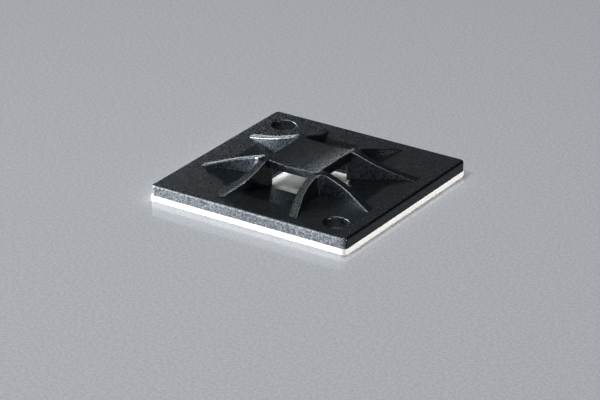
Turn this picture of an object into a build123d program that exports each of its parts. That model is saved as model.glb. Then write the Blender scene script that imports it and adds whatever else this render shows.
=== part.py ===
"""Stick-down cable tie mount.

One moulded plastic body, a square plate with a dished saddle that cable ties pass under
both ways, on a square pad of double-sided foam. Millimetres, +Z up. The origin is the
middle of the pad's underside, on the surface that the mount is stuck to.
"""

import os
from build123d import *

# Plate
plate_side = 28.0
plate_thickness = 1.35
plate_corner_radius = 0.6
plate_edge_radius = 0.3

# Foam pad
pad_overhang = 0.06
pad_thickness = 0.8
pad_hole_clearance = 0.25

# Screw holes, on one diagonal
hole_diameter = 3.1
hole_inset = 3.45
hole_rim_radius = 0.2

# Saddle
saddle_width = 7.9
saddle_length = 8.4
saddle_rise = 2.45
saddle_clear_height = 1.32
saddle_dish_depth = 0.27
saddle_corner_radius = 0.5

# Legs, each a pair of fins whose tops run down into the plate at fin_reach
channel_width = 6.4
fin_thickness = 1.23
fin_draft = 4.5
fin_reach = 12.2
fin_root = 0.25
fin_buried_height = 0.2
fin_level_reach = 4.5
fin_top_bend_radius = 3.0
fin_bend_start = 5.8
fin_bend_radius = 11.0
fin_flare = 20.0
leg_outer_radius = 0.9
leg_inner_radius = 0.35
top_edge_radius = 0.15

# Ramps that lead a tie down under the saddle
ramp_reach = 10.15
core_clearance = 0.42
lip_thickness = 0.4

# Heights and places that follow
plate_bottom = pad_thickness
plate_top = plate_bottom + plate_thickness
saddle_underside = plate_top + saddle_clear_height
saddle_top = plate_top + saddle_rise
channel_half = channel_width / 2
opening_length_x = saddle_width + 2 * core_clearance
opening_length_y = saddle_length + 2 * core_clearance
leg_bottom = plate_top - fin_root
fin_slope = saddle_rise / (fin_reach - fin_level_reach)
fin_end = fin_reach + (fin_root - fin_buried_height) / fin_slope
hole_offset = plate_side / 2 - hole_inset
hole_places = [(-hole_offset, hole_offset), (hole_offset, -hole_offset)]
diagonal = Plane(origin=(0, 0, 0), z_dir=(1, -1, 0))


def fin_face_line(set_in):
    """Plan line of one face of the fin that runs along +Y, set_in from the channel's side."""
    x = channel_half + set_in
    straight = Line((x, x), (x, fin_bend_start))
    bend = JernArc(straight @ 1, straight % 1, fin_bend_radius - set_in, -fin_flare)
    run = (fin_end - (bend @ 1).Y) / (bend % 1).Y
    end = Line(bend @ 1, bend @ 1 + (bend % 1) * run)
    return straight, bend, end


def leg_block():
    """Block as high as the saddle and rooted in the plate: two fins, mirrored on the diagonal.

    The faces along the channels are upright, and the others lean in by the draft.
    """
    near = fin_face_line(0)
    far = fin_face_line(fin_thickness)
    tip = Line(near[-1] @ 1, far[-1] @ 1)
    mitre = Line(far[0] @ 0, near[0] @ 0)
    fin = make_face(Wire([*near, tip, *far, mitre]))
    outline = Sketch() + fin + mirror(fin, about=diagonal)
    inner = outline.vertices().sort_by_distance(near[0] @ 0)[0]
    outline = fillet(inner, leg_inner_radius)
    outer = outline.vertices().sort_by_distance(far[0] @ 0)[0]
    outline = fillet(outer, leg_outer_radius)
    block = Pos(0, 0, leg_bottom) * extrude(outline, amount=saddle_top - leg_bottom)
    facing_out = [face for face in block.faces() if face.normal_at().dot(Vector(1, 1, 0)) > 0.1]
    return draft(facing_out, Plane(origin=(0, 0, leg_bottom)), fin_draft)


def fin_top_cutter():
    """Solid above the fins that run along +Y, whose tops slope down into the plate at fin_reach."""
    top_line = FilletPolyline(
        (0, 0, saddle_top),
        (0, fin_level_reach, saddle_top),
        (0, fin_end, leg_bottom + fin_buried_height),
        radius=fin_top_bend_radius,
    )
    end = top_line @ 1
    above = Polyline(
        end,
        (0, plate_side, end.Z),
        (0, plate_side, 2 * saddle_top),
        (0, 0, 2 * saddle_top),
        top_line @ 0,
    )
    profile = make_face(Wire([*top_line.edges(), *above.edges()]))
    return extrude(profile, amount=plate_side, dir=(1, 0, 0))


def leg():
    """The leg in the +X +Y quarter, the edges of its sloping tops rounded."""
    cutter = fin_top_cutter()
    block = leg_block() - cutter - mirror(cutter, about=diagonal)
    on_top = ShapeList([face for face in block.faces() if face.normal_at().Z > 0.5])
    rim = [edge for edge in on_top.edges() if on_top.edges().count(edge) == 1]
    return fillet(rim, top_edge_radius)


def trough():
    """Cylinder along Y that dishes the saddle and the inner ends of the legs."""
    radius = ((saddle_width / 2) ** 2 + saddle_dish_depth**2) / (2 * saddle_dish_depth)
    axis_height = saddle_top - saddle_dish_depth + radius
    return Pos(0, 0, axis_height) * Rot(90, 0, 0) * Cylinder(radius, plate_side)


def saddle():
    """Dished slab that bridges the four legs."""
    blank = RectangleRounded(saddle_width, saddle_length, saddle_corner_radius)
    slab = Pos(0, 0, saddle_underside) * extrude(blank, amount=saddle_top - saddle_underside)
    slab -= trough()
    return fillet(slab.faces().sort_by(Axis.Z)[-1].edges(), top_edge_radius)


def opening():
    """Plus-shaped opening through the plate, its corners flush with the legs."""
    arms = Rectangle(channel_width, opening_length_y) + Rectangle(opening_length_x, channel_width)
    corners = arms.vertices().sort_by_distance((0, 0, 0))[:4]
    return Pos(0, 0, plate_bottom) * extrude(fillet(corners, leg_inner_radius), amount=plate_thickness)


def ramp_cutter(opening_length):
    """Wedge that sinks the ramp on the +Y side, as wide as the space between the fins."""
    straight, bend, end = fin_face_line(0)
    tip = end @ 1
    edges = [
        Line((channel_half, 0), straight @ 0),
        straight,
        bend,
        end,
        Line(tip, (0, tip.Y)),
        Line((0, tip.Y), (0, 0)),
        Line((0, 0), (channel_half, 0)),
    ]
    half = make_face(Wire(edges))
    outline = half + mirror(half, about=Plane.YZ)
    column = Pos(0, 0, plate_bottom) * extrude(outline, amount=plate_thickness)
    lip_top = plate_bottom + lip_thickness
    profile = make_face(
        Polyline(
            (0, opening_length / 2, lip_top),
            (0, ramp_reach, plate_top),
            (0, 0, plate_top),
            (0, 0, lip_top),
            close=True,
        )
    )
    wedge = extrude(profile, amount=plate_side / 2, dir=(1, 0, 0), both=True)
    return column & wedge


def plate():
    blank = RectangleRounded(plate_side, plate_side, plate_corner_radius)
    slab = Pos(0, 0, plate_bottom) * extrude(blank, amount=plate_thickness)
    slab = fillet(slab.faces().sort_by(Axis.Z)[-1].edges(), plate_edge_radius)
    for x, y in hole_places:
        slab -= Pos(x, y, plate_bottom + plate_thickness / 2) * Cylinder(hole_diameter / 2, plate_thickness)
    rims = slab.edges().filter_by(GeomType.CIRCLE).filter_by_position(Axis.Z, plate_top, plate_top)
    slab = fillet(rims, hole_rim_radius)
    ramps = [ramp_cutter(opening_length_y), ramp_cutter(opening_length_x)]
    for turn in range(4):
        slab -= Rot(0, 0, 90 * turn) * ramps[turn % 2]
    return slab - opening()


def mount_body():
    corner = leg()
    body = plate() + saddle()
    for turn in range(4):
        body += Rot(0, 0, 90 * turn) * corner - trough()
    return body


def adhesive_pad():
    side = plate_side + 2 * pad_overhang
    sheet = RectangleRounded(side, side, plate_corner_radius)
    for x, y in hole_places:
        sheet -= Pos(x, y) * Circle(hole_diameter / 2 + pad_hole_clearance)
    return extrude(sheet, amount=pad_thickness)


parts = {
    "mount_body": mount_body(),
    "adhesive_pad": adhesive_pad(),
}

os.makedirs("parts", exist_ok=True)
for name, solid in parts.items():
    export_step(solid, f"parts/{name}.step")
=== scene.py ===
"""Looks of the cable tie mount: black spark-eroded plastic on a white foam pad."""

import math

import bmesh
import bpy
from mathutils import Matrix, Vector, noise


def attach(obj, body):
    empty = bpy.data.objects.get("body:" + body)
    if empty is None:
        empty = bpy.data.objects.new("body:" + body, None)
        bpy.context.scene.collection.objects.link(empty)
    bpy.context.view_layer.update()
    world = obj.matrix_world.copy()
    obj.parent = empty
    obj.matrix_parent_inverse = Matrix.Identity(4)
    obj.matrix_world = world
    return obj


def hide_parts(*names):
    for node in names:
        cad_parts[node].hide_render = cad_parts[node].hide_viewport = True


MM = 0.001

# Camera, fitted to the photograph
SENSOR_WIDTH_MM = 36.0
LENS_MM = 187.108
CAMERA_AZIMUTH = 32.557
CAMERA_ELEVATION = 24.608
CAMERA_ROLL = 0.664
CAMERA_DISTANCE = 383.07 * MM
CAMERA_SLIDE_RIGHT = -1.165 * MM
CAMERA_SLIDE_UP = -3.441 * MM
CAMERA_CLIP_START = 0.01
CAMERA_CLIP_END = 20
VIEW_GAMMA = 0.7

# Places on the moulding that the looks need
PLATE_TOP = 2.15 * MM
PLATE_SIDE_RAMP = (13.8 * MM, 13.9 * MM)
HOLE_PLACES = [(-10.55 * MM, 10.55 * MM), (10.55 * MM, -10.55 * MM)]

# Plastic, each pair of colours from the darkest speck to the brightest
GRAIN_SCALE = 6000
GRAIN_DEPTH = 0.05 * MM
GRAIN_STRENGTH = (0.25, 0.45)
SPECK_SCALE = 6800
SPECK_POWER = 1.5
FRONT_RAMP = (-0.5, -0.8)
PLAIN_COLOURS = (0.002, 0.0026, 0.003, 1), (0.012, 0.015, 0.018, 1)
# Painted light: the next two pairs are paler because the lamps catch the grain on faces towards
# the front, palest on the plate's side; the spread within each pair is grain
FRONT_PAINTED_LIGHT_COLOURS = (0.032, 0.035, 0.043, 1), (0.155, 0.17, 0.198, 1)
SIDE_PAINTED_LIGHT_COLOURS = (0.105, 0.109, 0.117, 1), (0.44, 0.45, 0.473, 1)
PLASTIC_ROUGHNESS = (0.25, 0.34)
FRONT_SIDE_ROUGHNESS = 0.2
PLASTIC_SPECULAR = 1.0
PLASTIC_TINT = (0.84, 0.94, 1.0, 1)

# Foam pad, its shape
PAD_HALF = 14.06 * MM
PAD_CORNER = 0.6 * MM
PAD_THICKNESS = 0.8 * MM
PAD_HOLE_RADIUS = 1.8 * MM
FOAM_STEP = 0.08 * MM
FOAM_ROWS = 12
FOAM_SHARP_ANGLE = 50

# Foam pad, how far its cut edges lie back
CELL_SIZE = 0.17 * MM
CELL_RADIUS = 0.45
CELL_POWER = 0.6
CELL_DEPTH = 0.035 * MM
RAGGED_LENGTH = 0.5 * MM
RAGGED_DEPTH = 0.01 * MM
WAVE_LENGTH = 4 * MM
WAVE_DEPTH = 0.01 * MM
EDGE_BAND = 0.08 * MM
EDGE_DEPTH = 0.02 * MM

# Foam pad, its surface
FOAM_MOTTLE_SCALE = 14000
FOAM_MOTTLE_RAMP = (0.3, 0.6)
FOAM_MOTTLE_DEPTH = 0.015 * MM
FOAM_COLOURS = (0.80, 0.80, 0.785, 1), (0.92, 0.92, 0.905, 1)
FOAM_ROUGHNESS = 0.75
FOAM_SPECULAR = 0.25

# Floor
FLOOR_SIZE = 3.0
FLOOR_COLOUR = (0.525, 0.536, 0.56)
FLOOR_SHADES = (0.94, 1.06)
FLOOR_MOTTLE_SCALE = 2700
FLOOR_COLOUR_RAMP = (0.35, 0.65)
FLOOR_GLOSS_RAMP = (0.3, 0.7)
FLOOR_ROUGHNESS = (0.07, 0.12)
FLOOR_SPECULAR = 0.6

# Lights, each lamp with its name, azimuth, elevation, width, height, power and colour
WORLD_COLOUR = (0.62, 0.66, 0.72)
WORLD_STRENGTH = 0.01
LIGHT_DISTANCE = 0.5
COOL = (0.965, 0.99, 1.0)
WARM = (1.02, 1.0, 0.98)
WHITE = (1, 1, 1)
OBJECT_LIGHTS = [
    ("key", -62, 17.0, 0.3, 0.2, 1.0, COOL),
    ("low_left", -56, 2.5, 0.08, 0.035, 2.8, COOL),
    ("low_side", -85, 7.0, 0.16, 0.08, 2.6, COOL),
    ("key_side", -74, 17.0, 0.3, 0.2, 0.5, COOL),
    ("high_side", -90, 36.0, 0.25, 0.25, 0.65, COOL),
    ("high_left", -69, 42.0, 0.25, 0.25, 0.3, COOL),
    ("back_left", -159, 25.0, 0.2, 0.14, 0.04, COOL),
    ("low_back", -139, 9.5, 0.12, 0.06, 0.18, COOL),
    ("side_right", 90, 8.0, 0.16, 0.07, 1.7, WARM),
    ("back_right", 105, 28.0, 0.2, 0.14, 0.15, WARM),
]
ROOM_LIGHTS = [
    ("edge_left", -22, 58.0, 0.12, 0.12, 0.8, COOL),
    ("high_right", 60, 50.0, 0.25, 0.25, 0.2, WARM),
    ("top", -130, 78.0, 0.3, 0.3, 2.3, WHITE),
]

# Node settings
NOISE_ROUGHNESS = 0.6
MIX_COLOUR_INPUTS = (6, 7)
MIX_COLOUR_OUTPUT = 2


def direction(azimuth, elevation):
    """Unit vector from the object towards a viewer or a light; azimuth 0 is at -Y, 90 at +X."""
    a, e = math.radians(azimuth), math.radians(elevation)
    return Vector((math.sin(a) * math.cos(e), -math.cos(a) * math.cos(e), math.sin(e)))


def make_camera():
    back = direction(CAMERA_AZIMUTH, CAMERA_ELEVATION)
    level = Vector((0, 0, 1)).cross(back).normalized()
    upright = back.cross(level)
    roll = math.radians(CAMERA_ROLL)
    right = math.cos(roll) * level + math.sin(roll) * upright
    up = math.cos(roll) * upright - math.sin(roll) * level
    place = back * CAMERA_DISTANCE + right * CAMERA_SLIDE_RIGHT + up * CAMERA_SLIDE_UP
    place += Vector((0, 0, PLATE_TOP))
    data = bpy.data.cameras.new("camera")
    data.sensor_width = SENSOR_WIDTH_MM
    data.lens = LENS_MM
    data.clip_start = CAMERA_CLIP_START
    data.clip_end = CAMERA_CLIP_END
    camera = bpy.data.objects.new("camera", data)
    turn = Matrix((right, up, back)).transposed().to_4x4()
    camera.matrix_world = Matrix.Translation(place) @ turn
    bpy.context.scene.collection.objects.link(camera)
    bpy.context.scene.camera = camera


class Nodes:
    """Small helper that adds linked shader nodes to one material."""

    def __init__(self, name):
        self.material = bpy.data.materials.new(name)
        self.material.use_nodes = True
        self.tree = self.material.node_tree
        self.shader = self.tree.nodes["Principled BSDF"]

    def add(self, kind, values=(), **settings):
        node = self.tree.nodes.new("ShaderNode" + kind)
        for key, value in settings.items():
            setattr(node, key, value)
        for key, value in dict(values).items():
            self.feed(node.inputs[key], value)
        return node

    def feed(self, socket, value):
        if isinstance(value, bpy.types.NodeSocket):
            self.tree.links.new(value, socket)
        else:
            socket.default_value = value

    def place(self):
        """Position on the object, in metres."""
        return self.add("TexCoord").outputs["Object"]

    def parts(self, vector):
        """X, Y and Z of a vector."""
        return self.add("SeparateXYZ", {"Vector": vector}).outputs

    def noise(self, scale, detail):
        values = {
            "Vector": self.place(),
            "Scale": scale,
            "Detail": detail,
            "Roughness": NOISE_ROUGHNESS,
        }
        return self.add("TexNoise", values).outputs["Fac"]

    def cells(self, scale):
        """Random value for each small cell."""
        node = self.add("TexVoronoi", {"Vector": self.place(), "Scale": scale})
        return self.add("SeparateColor", {"Color": node.outputs["Color"]}).outputs["Red"]

    def ramp(self, factor, low, high, low_value=0.0, high_value=1.0):
        values = {
            "Value": factor,
            "From Min": low,
            "From Max": high,
            "To Min": low_value,
            "To Max": high_value,
        }
        return self.add("MapRange", values).outputs["Result"]

    def mix(self, factor, *colours):
        node = self.add("Mix", {"Factor": factor}, data_type="RGBA")
        for index, colour in zip(MIX_COLOUR_INPUTS, colours):
            self.feed(node.inputs[index], colour)
        return node.outputs[MIX_COLOUR_OUTPUT]

    def math(self, operation, a, b=0.0):
        node = self.add("Math", operation=operation)
        self.feed(node.inputs[0], a)
        self.feed(node.inputs[1], b)
        return node.outputs[0]

    def reach(self):
        """Distance from the middle along X or Y, whichever is more."""
        place = self.parts(self.place())
        across = self.math("ABSOLUTE", place["X"])
        return self.math("MAXIMUM", across, self.math("ABSOLUTE", place["Y"]))

    def facing(self, axis):
        """How far the surface faces along one axis of the object, from -1 to 1."""
        return self.parts(self.add("TexCoord").outputs["Normal"])[axis]

    def bump(self, height, distance, strength=1.0):
        values = {"Height": height, "Distance": distance, "Strength": strength}
        return self.add("Bump", values).outputs["Normal"]


def set_material(piece, material):
    piece.data.materials.clear()
    piece.data.materials.append(material)


def body_plastic():
    """Black moulded plastic with the fine grain of a spark-eroded mould.

    Faces towards the front get a stronger grain bump and are painted paler, palest on the
    plate's side: this paleness is painted light, where the lamps catch the grain.
    """
    n = Nodes("body_plastic")
    grain = n.noise(GRAIN_SCALE, 1)
    specks = n.cells(SPECK_SCALE)
    bright = n.math("POWER", specks, SPECK_POWER)
    plain = n.mix(bright, *PLAIN_COLOURS)
    # Painted light: faces towards the front are painted paler, and the plate's side palest
    front_painted_light = n.mix(bright, *FRONT_PAINTED_LIGHT_COLOURS)
    side_painted_light = n.mix(bright, *SIDE_PAINTED_LIGHT_COLOURS)
    on_side = n.ramp(n.reach(), *PLATE_SIDE_RAMP)
    on_front = n.ramp(n.facing("Y"), *FRONT_RAMP)
    colour = n.mix(on_front, plain, n.mix(on_side, front_painted_light, side_painted_light))
    n.feed(n.shader.inputs["Base Color"], colour)
    base_rough = n.ramp(specks, 0.0, 1.0, *PLASTIC_ROUGHNESS)
    on_front_side = n.math("MULTIPLY", on_front, on_side)
    extra_rough = n.math("MULTIPLY", on_front_side, FRONT_SIDE_ROUGHNESS)
    n.feed(n.shader.inputs["Roughness"], n.math("ADD", base_rough, extra_rough))
    strength = n.ramp(on_front, 0.0, 1.0, *GRAIN_STRENGTH)
    n.feed(n.shader.inputs["Normal"], n.bump(grain, GRAIN_DEPTH, strength))
    n.shader.inputs["Specular IOR Level"].default_value = PLASTIC_SPECULAR
    n.shader.inputs["Specular Tint"].default_value = PLASTIC_TINT
    return n.material


def pad_foam():
    """White foam with a faint mottle of small cells."""
    n = Nodes("pad_foam")
    mottle = n.noise(FOAM_MOTTLE_SCALE, 3)
    colour = n.mix(n.ramp(mottle, *FOAM_MOTTLE_RAMP), *FOAM_COLOURS)
    n.feed(n.shader.inputs["Base Color"], colour)
    n.shader.inputs["Roughness"].default_value = FOAM_ROUGHNESS
    n.feed(n.shader.inputs["Normal"], n.bump(mottle, FOAM_MOTTLE_DEPTH))
    n.shader.inputs["Specular IOR Level"].default_value = FOAM_SPECULAR
    return n.material


def floor_finish():
    """Pale satin board with a faint mottle."""
    n = Nodes("floor_finish")
    mottle = n.noise(FLOOR_MOTTLE_SCALE, 1)
    colours = [(*(shade * part for part in FLOOR_COLOUR), 1) for shade in FLOOR_SHADES]
    colour = n.mix(n.ramp(mottle, *FLOOR_COLOUR_RAMP), *colours)
    n.feed(n.shader.inputs["Base Color"], colour)
    rough = n.ramp(mottle, *FLOOR_GLOSS_RAMP, *FLOOR_ROUGHNESS)
    n.feed(n.shader.inputs["Roughness"], rough)
    n.shader.inputs["Specular IOR Level"].default_value = FLOOR_SPECULAR
    return n.material


def make_floor():
    half = FLOOR_SIZE / 2
    corners = [(-half, -half, 0), (half, -half, 0), (half, half, 0), (-half, half, 0)]
    mesh = bpy.data.meshes.new("floor")
    mesh.from_pydata(corners, [], [(0, 1, 2, 3)])
    floor = bpy.data.objects.new("floor", mesh)
    bpy.context.scene.collection.objects.link(floor)
    set_material(floor, floor_finish())
    return floor


def make_light(name, azimuth, elevation, width, height, power, colour):
    """Rectangular lamp at LIGHT_DISTANCE from the object, turned towards it."""
    data = bpy.data.lights.new(name, "AREA")
    data.shape = "RECTANGLE"
    data.size, data.size_y = width, height
    data.energy = power
    data.color = colour
    light = bpy.data.objects.new(name, data)
    towards = direction(azimuth, elevation)
    light.location = towards * LIGHT_DISTANCE
    light.rotation_mode = "QUATERNION"
    light.rotation_quaternion = towards.to_track_quat("Z", "Y")
    bpy.context.scene.collection.objects.link(light)
    return light


def make_lights(floor):
    """Room lights reach everything; the object's own lights leave the floor out."""
    world = bpy.data.worlds.new("world")
    world.use_nodes = True
    background = world.node_tree.nodes["Background"]
    background.inputs["Color"].default_value = (*WORLD_COLOUR, 1)
    background.inputs["Strength"].default_value = WORLD_STRENGTH
    bpy.context.scene.world = world
    for values in ROOM_LIGHTS:
        make_light(*values)
    left_out = bpy.data.collections.new("left_out")
    left_out.objects.link(floor)
    for member in left_out.collection_objects:
        member.light_linking.link_state = "EXCLUDE"
    for values in OBJECT_LIGHTS:
        make_light(*values).light_linking.receiver_collection = left_out


def square_outline():
    """Points and outward normals round the pad's rounded square, anticlockwise."""
    straight = 2 * (PAD_HALF - PAD_CORNER)
    along = round(straight / FOAM_STEP)
    turn = round(PAD_CORNER * math.pi / 2 / FOAM_STEP)
    points = []
    for side in range(4):
        spin = Matrix.Rotation(side * math.pi / 2, 3, "Z")
        for i in range(along):
            place = Vector((PAD_HALF, -straight / 2 + straight * i / along, 0))
            points.append((spin @ place, spin @ Vector((1, 0, 0))))
        for i in range(turn):
            angle = math.pi / 2 * i / turn
            out = Vector((math.cos(angle), math.sin(angle), 0))
            place = Vector((straight / 2, straight / 2, 0)) + PAD_CORNER * out
            points.append((spin @ place, spin @ out))
    return points


def hole_outline(x, y):
    """Points and normals round one punched hole, the normals towards its middle."""
    count = round(2 * math.pi * PAD_HOLE_RADIUS / FOAM_STEP)
    points = []
    for i in range(count):
        angle = 2 * math.pi * i / count
        out = Vector((math.cos(angle), math.sin(angle), 0))
        points.append((Vector((x, y, 0)) + PAD_HOLE_RADIUS * out, -out))
    return points


def foam_depth(place):
    """How far the cut face lies back at one point: cut cells, ragged cut and drawn-in edges."""
    from_cell_middle = noise.voronoi(place / CELL_SIZE)[0][0]
    cell = max(0.0, CELL_RADIUS - from_cell_middle) / CELL_RADIUS
    ragged = 0.5 + 0.5 * noise.noise(place / RAGGED_LENGTH)
    wave = 0.5 + 0.5 * noise.noise(Vector((place.x, place.y, 0)) / WAVE_LENGTH)
    to_edge = min(place.z, PAD_THICKNESS - place.z)
    edge = max(0.0, 1 - to_edge / EDGE_BAND) ** 2
    cut = CELL_DEPTH * cell**CELL_POWER + RAGGED_DEPTH * ragged
    return cut + WAVE_DEPTH * wave + EDGE_DEPTH * edge


def foam_piece():
    """Foam pad that shows its cut cells along the edges, punched under the screw holes."""
    build = bmesh.new()
    rings = [square_outline()] + [hole_outline(x, y) for x, y in HOLE_PLACES]
    caps = {0: [], FOAM_ROWS: []}
    for ring in rings:
        rows = []
        for row in range(FOAM_ROWS + 1):
            z = PAD_THICKNESS * row / FOAM_ROWS
            verts = []
            for place, normal in ring:
                here = Vector((place.x, place.y, z))
                verts.append(build.verts.new(here - normal * foam_depth(here)))
            rows.append(verts)
        for low, high in zip(rows, rows[1:]):
            for i in range(len(ring)):
                j = (i + 1) % len(ring)
                build.faces.new((low[i], low[j], high[j], high[i]))
        for row in caps:
            caps[row].append(rows[row])
    for loops in caps.values():
        edges = []
        for verts in loops:
            edges += [build.edges.get((verts[i - 1], verts[i])) for i in range(len(verts))]
        bmesh.ops.triangle_fill(build, use_beauty=True, use_dissolve=False, edges=edges)
    bmesh.ops.recalc_face_normals(build, faces=build.faces)
    mesh = bpy.data.meshes.new("foam_pad")
    build.to_mesh(mesh)
    build.free()
    mesh.polygons.foreach_set("use_smooth", [True] * len(mesh.polygons))
    mesh.set_sharp_from_angle(angle=math.radians(FOAM_SHARP_ANGLE))
    piece = bpy.data.objects.new("foam_pad", mesh)
    bpy.context.scene.collection.objects.link(piece)
    return piece


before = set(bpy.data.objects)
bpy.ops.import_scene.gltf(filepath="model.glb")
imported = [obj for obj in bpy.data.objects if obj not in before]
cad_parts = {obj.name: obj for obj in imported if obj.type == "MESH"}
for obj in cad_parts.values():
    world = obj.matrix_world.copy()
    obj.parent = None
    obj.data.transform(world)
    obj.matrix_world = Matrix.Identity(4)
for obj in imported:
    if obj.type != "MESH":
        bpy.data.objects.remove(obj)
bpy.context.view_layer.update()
bpy.context.scene.view_settings.view_transform = "Standard"
bpy.context.scene.view_settings.gamma = VIEW_GAMMA
make_camera()
make_lights(make_floor())
set_material(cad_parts["mount_body"], body_plastic())

foam = foam_piece()
set_material(foam, pad_foam())
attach(foam, "root")
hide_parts("adhesive_pad")
